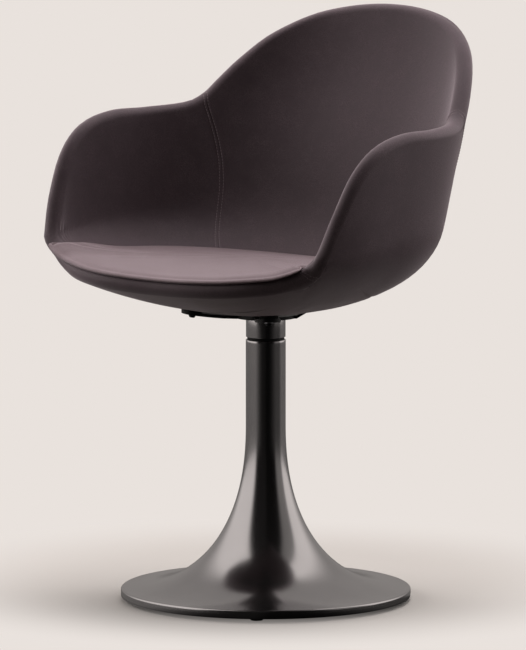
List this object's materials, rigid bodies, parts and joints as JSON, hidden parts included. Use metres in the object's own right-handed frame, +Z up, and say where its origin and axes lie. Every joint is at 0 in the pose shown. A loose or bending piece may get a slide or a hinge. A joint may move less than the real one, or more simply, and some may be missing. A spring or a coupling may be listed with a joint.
{
  "type": "pedestal swivel armchair",
  "caption": "Padded tub armchair with a low front lip and high back, its seat turning on a slim column over a flared trumpet foot.",
  "frame": {"origin": "under the middle of the whole chair's outline, on the floor plane through the undersides of the glides", "axes": "+Z up along the swivel axis, the chair faces -Y, +X is the sitter's left, which is the right as seen from the front"},
  "size_m": [0.571, 0.5057, 0.8095],
  "materials": {
    "satin_base": "satin anthracite",
    "ballast": "painted",
    "glide": "matt",
    "zinc_steel": "plain zinc",
    "dark_screw": "blackened",
    "bush": "plain",
    "dark_ring": "matt",
    "dark_frame": "satin black",
    "rubber_pad": "matt",
    "core_wood": "moulded plywood",
    "foam": "upholstery foam",
    "lining": "plain woven lining",
    "leather": "smooth, low sheen"
  },
  "bodies": {
    "base": {"trumpet_base": "satin_base", "floor_plate": "ballast", "glide_feet": "glide", "column_tube": "zinc_steel", "tube_plug": "zinc_steel", "tie_bolt": "dark_screw", "tie_washer": "zinc_steel", "bearing_housing": "zinc_steel", "lower_bush": "bush", "upper_bush": "bush", "thrust_ring": "dark_ring"},
    "seat": {"spindle": "zinc_steel", "lower_washer": "zinc_steel", "retaining_ring": "dark_screw", "collar": "satin_base", "seat_spider": "dark_frame", "spider_screws": "dark_screw", "spider_washers": "zinc_steel", "spacer_pads": "rubber_pad", "shell_inserts": "zinc_steel", "shell_core": "core_wood", "shell_padding": "foam", "seat_liner": "lining", "inner_back_cover": "leather", "inner_arm_cover_right": "leather", "inner_arm_cover_left": "leather", "outer_back_cover": "leather", "outer_arm_cover_right": "leather", "outer_arm_cover_left": "leather", "under_cover": "leather", "cushion_foam": "foam", "cushion_cover": "leather", "cushion_base_cloth": "lining"}
  },
  "joints": [
    {"name": "seat_swivel", "type": "hinge", "parent": "base", "child": "seat", "pos_m": [0, -0.01774, 0.35], "axis": [0, 0, 1], "continuous": true}
  ]
}
